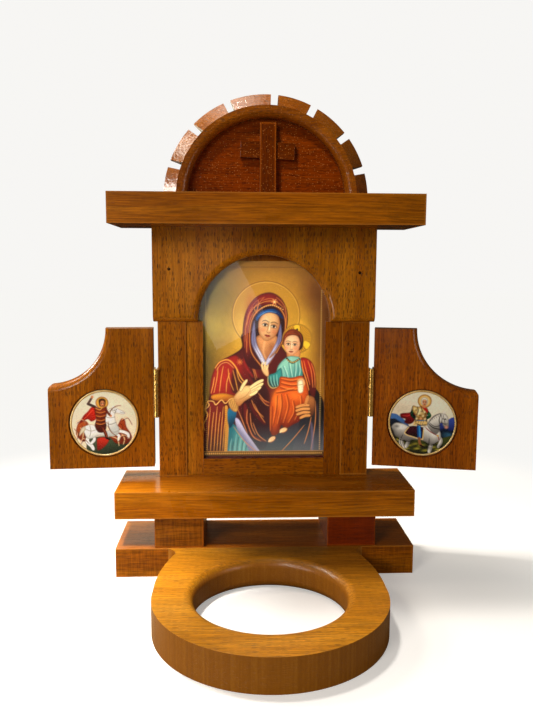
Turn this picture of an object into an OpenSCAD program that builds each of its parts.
// Tabletop icon shrine in varnished beech: a base with a lamp ring, two spacer blocks, a shelf,
// a niche for an icon under an arched panel, two hinged doors, a top board and a rounded crown.
// Frame: X to the right, -Y to the front, +Z up. The origin is on the table, under the middle of
// the base board.

/* [Boards] */
// Width of the base, shelf and top boards
board_w = 205; // [195:1:220]
// Depth of the base and shelf boards, front to back
board_d = 53.5; // [51:0.5:60]
// Thickness of the base board
base_t = 20; // [18:0.5:24]
// Thickness of the shelf board
shelf_t = 18.5; // [16:0.5:22]
// Thickness of the top board
top_t = 20; // [18:0.5:24]
// How far the top board comes forward of the base
top_overhang = 6; // [2:0.5:10]
// Height of the spacer blocks between base and shelf
spacer_h = 21; // [16:0.5:28]
// Width of each spacer block
spacer_w = 33.5; // [28:0.5:38]
// How far the spacer blocks sit behind the front edge of the base
spacer_back = 1.5; // [0.5:0.5:4]

/* [Lamp ring] */
// Radius of the rounded front of the lamp ring
ring_r = 70; // [66:0.5:74]
// Distance from the base to the middle of the ring's round front
ring_reach = 67; // [62:0.5:72]
// Radius of the hole for the lamp glass
hole_r = 45.5; // [40:0.5:48]
// Distance from the base to the middle of the hole
hole_reach = 65.5; // [63:0.5:70]
// Rounding of the hole's upper and lower rims
hole_round = 6; // [3:0.5:7]

/* [Niche] */
// Height of the niche, from the shelf to the top board
case_h = 179; // [176:1:190]
// Half the width over the two pilasters
case_half_w = 76; // [75:0.5:78]
// How far the pilaster faces sit behind the front edge of the base
pilaster_back = 38.3; // [37:0.1:39]
// Width of each pilaster
pilaster_w = 20; // [18:0.5:21]
// Thickness of the pilasters
pilaster_t = 6.2; // [5.6:0.1:6.4]
// Height of the pilasters, up to the arched panel
pilaster_h = 113; // [111:0.5:115]
// How far the inner frame sits behind the pilaster faces
inner_back = 1.2; // [0.8:0.1:1.4]
// Height of the rail under the icon
rail_h = 12.2; // [10:0.1:14]
// Height of the icon that shows above the rail
sight_h = 143.8; // [140:0.1:145]
// Half the clear width between the inner frame's stiles
sight_half_w = 44; // [42:0.5:45]

/* [Arched panel] */
// How far the arched panel stands proud of the pilasters
panel_proud = 5.6; // [4:0.1:7]
// How far the arched panel overhangs each pilaster at the side
panel_side = 2.6; // [1:0.1:4]
// Radius of the arch, inside its rounded edge
arch_r = 47; // [46:0.5:48]
// Rounding of the arch edge and the panel's lower edge
arch_round = 5; // [3:0.5:5.5]

/* [Icon] */
// Width of the printed icon
print_w = 100; // [98:1:101]
// Height of the printed icon
print_h = 150; // [146:1:151]
// Thickness of the printed icon
print_t = 0.6; // [0.4:0.1:0.8]
// Thickness of the glass over the icon
glass_t = 2; // [1.8:0.1:2.2]

/* [Doors] */
// Width of each door
door_w = 74.2; // [72:0.1:74.6]
// Height of each door
door_h = 101; // [96:0.5:102]
// Thickness of each door
door_t = 12; // [11:0.5:13]
// Gap between the shelf and the bottom of a door
door_lift = 7.1; // [5:0.1:8]
// Radius of the concave corner cut of the left and the right door
door_cut_r = [40.5, 44];
// Rounding along the concave cut
door_round = 5; // [3:0.5:6]
// How far the left and the right door stand forward of lying flat, in degrees
door_rest = [4, 12.5];
// Gap between a pilaster and its door, filled by the hinge
hinge_gap = 3.2; // [3.2:0.1:3.4]
// Length of each hinge
hinge_len = 35; // [30:1:40]
// Height of the middle of each hinge above the shelf
hinge_mid = 61.5; // [50:0.5:66]

/* [Medallions] */
// Radius of each medallion over its metal rim
medal_r = 24.2; // [22:0.1:24.4]
// Distance from a door's hinge edge to the middle of its medallion
medal_x = 35.5; // [34:0.5:37]
// Height of a medallion's middle above the bottom of its door
medal_z = 32.8; // [31:0.1:35]

/* [Crown] */
// Outer radius of the crown
crown_r = 73; // [71:0.5:75]
// Radius of the sharp edge between the crown's face and its bevel
crown_edge_r = 63.2; // [62:0.1:65]
// Radius of the recess in the crown
crown_inner_r = 55.5; // [53:0.5:57]
// Thickness of the crown, front to back
crown_t = 17.7; // [16.5:0.1:19]
// Depth of the crown's bevel behind its face
crown_bevel = 12.4; // [10:0.1:13.5]
// Depth of the recess behind the crown's face
crown_recess = 9; // [8:0.1:10]
// Sideways place of the middle of the crown
crown_x = 1.3; // [-2:0.1:2]
// Width of the notches across the bevel
notch_w = 5.3; // [4:0.1:6]
// Directions of the notches round the crown, in degrees
notch_angles = [17.5, 38.5, 62.5, 85.5, 112.5, 136.5, 160];

/* [Cross] */
// Height of the cross above the top board
cross_h = 52; // [46:0.5:52]
// Width of the upright
cross_w = 11.1; // [8:0.1:13]
// Thickness of the upright
upright_t = 6; // [5:0.1:7]
// Length of the arm
arm_len = 38; // [30:0.5:42]
// Height of the arm
arm_h = 11.5; // [8:0.1:13]
// Thickness of the arm
arm_t = 4; // [3:0.1:4.4]
// Height of the middle of the arm above the top board
arm_mid = 33.7; // [28:0.1:36]
// Slope of the arm, in degrees
arm_slope = 2.5; // [0:0.1:3]

/* [Hidden] */
$fn = 96;
beech = [0.55, 0.33, 0.13];
honey = [0.74, 0.50, 0.20];
red_beech = [0.45, 0.22, 0.09];
brass = [0.80, 0.64, 0.30];
steel = [0.62, 0.62, 0.64];
paper = [0.80, 0.58, 0.28];
pane = [0.80, 0.88, 0.90, 0.35];

fit = 0.05;          // radial clearance of pins, dowels and screws in their holes
through = 1;         // how far a cutter runs past a face

// Levels, from the table up
shelf_z = base_t + spacer_h;
case_z = shelf_z + shelf_t;
panel_z = case_z + pilaster_h;
top_z = case_z + case_h;
crown_z = top_z + top_t;

// Depths
front_y = -board_d / 2;
back_y = board_d / 2;
pilaster_y = front_y + pilaster_back;
carcass_y = pilaster_y + pilaster_t;
inner_y = pilaster_y + inner_back;
print_y = carcass_y - print_t;
glass_y = print_y - glass_t;
panel_y = pilaster_y - panel_proud;
crown_face_y = back_y - crown_t;
recess_y = crown_face_y + crown_recess;

// Places across
spacer_out = case_half_w;
stile_out = case_half_w - pilaster_w;
panel_half_w = case_half_w + panel_side;
rabbet_half_w = print_w / 2 + 0.2;
rabbet_play = 0.1;
print_top = case_z + rail_h + sight_h;
print_bottom = print_top - print_h;

// Lamp ring plan, measured from the base's front edge: flanks of a large radius run back from the
// round front to a narrow neck
flank_r = 2 * ring_r;
flank_y = -58;
neck_y = -9;
neck_fillet = 10;
neck_half_w = ring_r - flank_r + sqrt(pow(flank_r, 2) - pow(neck_y - flank_y, 2));
neck_base_half_w = neck_half_w + neck_fillet - sqrt(pow(neck_fillet, 2) - pow(neck_y, 2));

// Hinges: the pin stands in the gap, as far in front of the pilaster face as it is from its side
hinge_x = case_half_w + hinge_gap / 2;
hinge_y = pilaster_y - hinge_gap / 2;
hinge_z = case_z + hinge_mid - hinge_len / 2;
leaf_t = 1.2;
leaf_w = 10.5;
barrel_r = 2;
barrel_gap = 0.3;
pin_r = 0.9;
knuckles = 5;
knuckle_len = hinge_len / knuckles;
knuckle_play = 0.1;
hinge_screw_y = pilaster_y + 3.7;
hinge_screw_dz = 11;

// Doors, as they lie flat in line with the pilasters
door_x = case_half_w + hinge_gap;
door_end = door_x + door_w;
door_z = case_z + door_lift;
door_top = door_z + door_h;
door_corner_r = 3;
pocket_depth = 3;
pocket_play = 1;
medal_t = 2.2;
medal_rim = 1.4;
medal_dish = 0.7;
picture_t = 0.5;

// Crown: the notch cutter's length outward, and how far right of its middle the cross stands
notch_len = 20;
upright_dx = 0.8;
arm_dx = 0.6;

// Fasteners: [shank radius, head radius, head height, length]
long_screw = [1.9, 3.8, 2.4, 52];
case_screw = [1.6, 3.2, 2.0, 34];
leaf_screw = [0.9, 1.7, 0.8, 7];
brad = [0.7, 1.1, 0.5, 16];
driver_slot = 0.35;   // width of the slot in a screw's head, as a share of the head's radius
tip_room = 0.5;
head_room = 2;
foot_screw_x = 59.5;
foot_screw_y = [-11, 13];
foot_screw_sink = 0.6;
case_screw_x = 25;
case_screw_y = carcass_y + 4.5;
brad_x = 67;
brad_z = crown_z - 50;
brad_uneven = 1;
ring_dowel = [4, 26];
ring_dowel_x = 52;
crown_dowel = [3, 16];
crown_dowel_x = 64.2;
crown_dowel_in = 6.5;

// A block between two opposite corners
module block(low, high) {
    translate(low) cube(high - low);
}

// The children on the right, or mirrored to the left
module on_side(side) {
    if (side < 0) mirror([1, 0, 0]) children();
    else children();
}

// A 2D outline in X and Z, made into a plate from y0 to y1
module plate_xz(y0, y1) {
    translate([0, y1, 0]) rotate([90, 0, 0]) linear_extrude(y1 - y0) children();
}

// Solid of revolution about a line along Y: its profile is [radius, distance behind y0]
module turned_y(x, y0, z) {
    translate([x, y0, z]) rotate([-90, 0, 0]) rotate_extrude() children();
}

// Profile of a hole whose front rim flares out in a quarter round
module flared_profile(r, round_r, depth) {
    translate([0, -through]) square([r, depth + 2 * through]);
    difference() {
        translate([0, -through]) square([r + round_r, round_r + through]);
        translate([r + round_r, round_r]) circle(round_r);
    }
}

// Countersunk screw or nail standing head up: the head's top is at the origin, the shank runs down
module fastener(size, play = 0) {
    shank_r = size[0] + play;
    head_r = size[1] + play;
    head_h = size[2];
    translate([0, 0, -head_h]) cylinder(h = head_h, r1 = shank_r, r2 = head_r);
    translate([0, 0, -size[3]]) cylinder(h = size[3] - head_h, r = shank_r);
}

// A fastener with a driver slot in its head
module screw(size) {
    slot_w = size[1] * driver_slot;
    difference() {
        fastener(size);
        translate([-size[1], -slot_w / 2, -size[2] / 2]) cube([2 * size[1], slot_w, size[2]]);
    }
}

// The hole for a fastener, open above its head
module screw_hole(size) {
    fastener([size[0], size[1], size[2], size[3] + tip_room], fit);
    cylinder(h = head_room, r = size[1] + fit);
}

// Places of the four screws that come up through the base and the spacer blocks
module at_foot_screws() {
    for (side = [-1, 1], y = foot_screw_y) {
        translate([side * foot_screw_x, y, foot_screw_sink]) rotate([180, 0, 0]) children();
    }
}

// Places of the two screws through the shelf into the carcass
module at_shelf_screws() {
    for (side = [-1, 1]) {
        translate([side * case_screw_x, case_screw_y, shelf_z]) rotate([180, 0, 0]) children();
    }
}

// Places of the two screws through the top board into the carcass
module at_top_screws() {
    for (side = [-1, 1]) translate([side * case_screw_x, case_screw_y, crown_z]) children();
}

// Places of the brads through the arched panel
module at_brads() {
    for (side = [-1, 1]) {
        translate([side * brad_x, panel_y, brad_z - side * brad_uneven]) rotate([90, 0, 0]) children();
    }
}

module dowel_y(size, play = 0) {
    rotate([90, 0, 0]) cylinder(h = size[1] + 10 * play, r = size[0] + play, center = true);
}

module at_ring_dowels() {
    for (side = [-1, 1]) translate([side * ring_dowel_x, front_y, base_t / 2]) children();
}

module at_crown_dowels() {
    for (side = [-1, 1]) translate([crown_x + side * crown_dowel_x, back_y - crown_dowel_in, crown_z]) children();
}

// The inner edge of the rabbet that holds glass and print
module rabbet() {
    block([-rabbet_half_w, glass_y - rabbet_play, print_bottom - rabbet_play],
        [rabbet_half_w, carcass_y + through, print_top + rabbet_play]);
}

module base_board() color(beech) difference() {
    block([-board_w / 2, front_y, 0], [board_w / 2, back_y, base_t]);
    at_foot_screws() screw_hole(long_screw);
    at_ring_dowels() dowel_y(ring_dowel, fit);
}

module ring_plan() {
    intersection() {
        translate([0, -ring_reach]) circle(ring_r);
        translate([-ring_r, -ring_reach - ring_r]) square([2 * ring_r, ring_reach + ring_r]);
    }
    intersection() {
        translate([-ring_r, flank_y]) circle(flank_r);
        translate([ring_r, flank_y]) circle(flank_r);
        translate([-ring_r - 1, -ring_reach + 2]) square([2 * ring_r + 2, ring_reach - 2]);
    }
    difference() {
        translate([-neck_base_half_w, neck_y]) square([2 * neck_base_half_w, -neck_y]);
        for (side = [-1, 1]) {
            translate([side * (neck_half_w + neck_fillet), neck_y]) circle(neck_fillet);
        }
    }
}

// Profile of the lamp hole, rounded over at its upper and lower rims
module lamp_hole_profile() {
    flare_r = hole_r + hole_round;
    difference() {
        translate([0, -through]) square([flare_r, base_t + 2 * through]);
        translate([flare_r, hole_round]) circle(hole_round);
        translate([flare_r, base_t - hole_round]) circle(hole_round);
        translate([hole_r, hole_round]) square([hole_round + 1, base_t - 2 * hole_round]);
    }
}

module lamp_ring() color(honey) difference() {
    translate([0, front_y, 0]) linear_extrude(base_t) ring_plan();
    translate([0, front_y - hole_reach, 0]) rotate_extrude() lamp_hole_profile();
    at_ring_dowels() dowel_y(ring_dowel, fit);
}

module ring_dowels() color(honey) at_ring_dowels() dowel_y(ring_dowel);

module spacer(side) color(red_beech) on_side(side) difference() {
    block([spacer_out - spacer_w, front_y + spacer_back, base_t], [spacer_out, back_y, shelf_z]);
    at_foot_screws() screw_hole(long_screw);
}

module foot_screws() color(steel) at_foot_screws() screw(long_screw);

module shelf_board() color(beech) difference() {
    block([-board_w / 2, front_y, shelf_z], [board_w / 2, back_y, case_z]);
    at_foot_screws() screw_hole(long_screw);
    at_shelf_screws() screw_hole(case_screw);
}

module shelf_screws() color(steel) at_shelf_screws() screw(case_screw);

module carcass_board() color(red_beech) difference() {
    block([-case_half_w, carcass_y, case_z], [case_half_w, back_y, top_z]);
    at_shelf_screws() screw_hole(case_screw);
    at_top_screws() screw_hole(case_screw);
    at_brads() screw_hole(brad);
}

module pilaster(side) color(beech) difference() {
    on_side(side) block([stile_out, pilaster_y, case_z], [case_half_w, carcass_y, panel_z]);
    at_leaf_screws(side) screw_hole(leaf_screw);
}

module icon_stile(side) color(beech) difference() {
    on_side(side) block([sight_half_w, inner_y, case_z], [stile_out, carcass_y, panel_z]);
    rabbet();
}

module icon_rail() color(beech) difference() {
    block([-sight_half_w, inner_y, case_z], [sight_half_w, carcass_y, case_z + rail_h]);
    rabbet();
}

module icon_print() color(paper) {
    block([-print_w / 2, print_y, print_bottom], [print_w / 2, carcass_y, print_top]);
}

module icon_glass() color(pane) {
    block([-print_w / 2, glass_y, print_bottom], [print_w / 2, print_y, print_top]);
}

module arch_panel() color(beech) difference() {
    block([-panel_half_w, panel_y, panel_z], [panel_half_w, carcass_y, top_z]);
    turned_y(0, panel_y, panel_z) flared_profile(arch_r, arch_round, carcass_y - panel_y);
    translate([-panel_half_w - through, panel_y, panel_z]) rotate([90, 0, 90]) {
        linear_extrude(2 * (panel_half_w + through)) difference() {
            translate([-through, -through]) square(arch_round + through);
            translate([arch_round, arch_round]) circle(arch_round);
        }
    }
    rabbet();
    at_brads() screw_hole(brad);
}

module panel_brads() color(steel) at_brads() fastener(brad);

module top_board() color(beech) difference() {
    block([-board_w / 2, front_y - top_overhang, top_z], [board_w / 2, back_y, crown_z]);
    at_top_screws() screw_hole(case_screw);
    at_crown_dowels() cylinder(h = crown_dowel[1] + 1, r = crown_dowel[0] + fit, center = true);
}

module top_screws() color(steel) at_top_screws() screw(case_screw);

// Section of the crown's rim: [radius, distance behind the crown's face]
module crown_profile() {
    lip = 5;
    difference() {
        polygon([
            [crown_inner_r, 0], [crown_edge_r, 0], [crown_r, crown_bevel],
            [crown_r, crown_t], [crown_inner_r, crown_t]]);
        difference() {
            translate([crown_inner_r - through, -through]) square(lip + through);
            translate([crown_inner_r + lip, lip]) circle(lip);
        }
    }
}

module crown_arch() color(red_beech) difference() {
    translate([crown_x, crown_face_y, crown_z]) rotate([90, 0, 0]) {
        mirror([0, 0, 1]) rotate_extrude(angle = 180) crown_profile();
    }
    for (a = notch_angles) {
        translate([crown_x, crown_face_y - through, crown_z]) rotate([0, -a, 0]) {
            translate([crown_edge_r, 0, -notch_w / 2]) {
                cube([notch_len, crown_t + 2 * through, notch_w]);
            }
        }
    }
    at_crown_dowels() cylinder(h = crown_dowel[1] + 1, r = crown_dowel[0] + fit, center = true);
}

module crown_panel() color(red_beech) translate([crown_x, back_y, crown_z]) rotate([90, 0, 0]) {
    linear_extrude(back_y - recess_y) intersection() {
        circle(crown_inner_r - fit);
        translate([-crown_inner_r, 0]) square([2 * crown_inner_r, crown_inner_r]);
    }
}

module crown_dowels() color(honey) at_crown_dowels() {
    cylinder(h = crown_dowel[1], r = crown_dowel[0], center = true);
}

module arm_shape() {
    translate([crown_x + arm_dx, recess_y, crown_z + arm_mid]) rotate([0, arm_slope, 0]) {
        translate([-arm_len / 2, -arm_t, -arm_h / 2]) cube([arm_len, arm_t, arm_h]);
    }
}

module cross_upright() color(beech) difference() {
    translate([crown_x + upright_dx - cross_w / 2, recess_y - upright_t, crown_z]) {
        cube([cross_w, upright_t, cross_h]);
    }
    arm_shape();
}

module cross_arm() color(beech) arm_shape();

// Places of the two screws of each hinge's leaf on the case, heads outward
module at_leaf_screws(side) {
    on_side(side) for (up = [-1, 1]) {
        translate([case_half_w + leaf_t, hinge_screw_y, case_z + hinge_mid + up * hinge_screw_dz]) {
            rotate([0, 90, 0]) children();
        }
    }
}

// The same for the leaf on a door that lies flat
module at_door_screws() {
    for (up = [-1, 1]) {
        translate([door_x - leaf_t, hinge_screw_y, case_z + hinge_mid + up * hinge_screw_dz]) {
            rotate([0, -90, 0]) children();
        }
    }
}

// Cylinders round the hinge pin, one for each knuckle from the given one upward, two apart
module barrel(first, r, spare) {
    for (i = [first : 2 : knuckles - 1]) {
        translate([hinge_x, hinge_y, hinge_z + i * knuckle_len - spare]) {
            cylinder(h = knuckle_len + 2 * spare, r = r);
        }
    }
}

// One leaf of a hinge, on the right: its plate starts at x0 and its knuckles at the given one
module leaf(x0, first) {
    difference() {
        union() {
            difference() {
                block([x0, hinge_y, hinge_z], [x0 + leaf_t, hinge_y + leaf_w, hinge_z + hinge_len]);
                barrel(1 - first, barrel_r + barrel_gap, knuckle_play);
            }
            barrel(first, barrel_r, -knuckle_play);
        }
        translate([hinge_x, hinge_y, hinge_z - through]) {
            cylinder(h = hinge_len + 2 * through, r = pin_r + fit);
        }
        children();
    }
}

module case_leaf(side) color(brass) difference() {
    on_side(side) leaf(case_half_w, 0);
    at_leaf_screws(side) screw_hole(leaf_screw);
}

module hinge_pin(side) color(brass) on_side(side) translate([hinge_x, hinge_y, hinge_z]) {
    cylinder(h = hinge_len, r = pin_r);
}

module case_leaf_screws() color(brass) {
    for (side = [-1, 1]) at_leaf_screws(side) screw(leaf_screw);
}

// Swings what is drawn for a flat-lying right door forward to its rest angle, on its side
module hung(side) {
    rest = side < 0 ? door_rest[0] : door_rest[1];
    on_side(side) translate([hinge_x, hinge_y, 0]) rotate([0, 0, -rest]) {
        translate([-hinge_x, -hinge_y, 0]) children();
    }
}

// What rounds the door's outer corner, under the concave cut
module corner_cut(cut_r) {
    corner_z = door_top - sqrt(pow(cut_r + door_corner_r, 2) - pow(door_corner_r, 2));
    plate_xz(pilaster_y - through, pilaster_y + door_t + through) difference() {
        translate([door_end - door_corner_r, corner_z]) square([door_corner_r + 1, cut_r]);
        translate([door_end - door_corner_r, corner_z]) circle(door_corner_r);
    }
}

module door(side) color(beech) hung(side) difference() {
    cut_r = side < 0 ? door_cut_r[0] : door_cut_r[1];
    block([door_x, pilaster_y, door_z], [door_end, pilaster_y + door_t, door_top]);
    turned_y(door_end, pilaster_y, door_top) flared_profile(cut_r, door_round, door_t);
    corner_cut(cut_r);
    translate([door_x + medal_x, pilaster_y + pocket_depth, door_z + medal_z]) {
        rotate([90, 0, 0]) cylinder(h = pocket_depth + through, r = medal_r + pocket_play);
    }
    at_door_screws() screw_hole(leaf_screw);
}

module door_leaf(side) color(brass) hung(side) difference() {
    leaf(door_x - leaf_t, 1);
    at_door_screws() screw_hole(leaf_screw);
}

module door_screws(side) color(brass) hung(side) at_door_screws() screw(leaf_screw);

// Place of a medallion: the middle of its back, facing the front of a flat-lying door
module at_medallion(side) {
    hung(side) translate([door_x + medal_x, pilaster_y + pocket_depth, door_z + medal_z]) {
        rotate([90, 0, 0]) children();
    }
}

module medallion(side) color(brass) at_medallion(side) difference() {
    cylinder(h = medal_t, r = medal_r);
    translate([0, 0, medal_t - medal_dish]) cylinder(h = medal_dish + 1, r = medal_r - medal_rim);
}

module medallion_picture(side) color(paper) at_medallion(side) {
    translate([0, 0, medal_t - medal_dish]) cylinder(h = picture_t, r = medal_r - medal_rim - fit);
}

base_board();
lamp_ring();
ring_dowels();
spacer(-1);  // spacer_left
spacer(1);  // spacer_right
foot_screws();
shelf_board();
shelf_screws();
carcass_board();
pilaster(-1);  // pilaster_left
pilaster(1);  // pilaster_right
icon_stile(-1);  // icon_stile_left
icon_stile(1);  // icon_stile_right
icon_rail();
icon_print();
icon_glass();
arch_panel();
panel_brads();
top_board();
top_screws();
crown_arch();
crown_panel();
crown_dowels();
cross_upright();
cross_arm();
case_leaf(-1);  // case_leaf_left
case_leaf(1);  // case_leaf_right
hinge_pin(-1);  // hinge_pin_left
hinge_pin(1);  // hinge_pin_right
case_leaf_screws();
door(-1);  // door_left
door_leaf(-1);  // door_leaf_left
door_screws(-1);  // door_screws_left
medallion(-1);  // medallion_left
medallion_picture(-1);  // medallion_picture_left
door(1);  // door_right
door_leaf(1);  // door_leaf_right
door_screws(1);  // door_screws_right
medallion(1);  // medallion_right
medallion_picture(1);  // medallion_picture_right
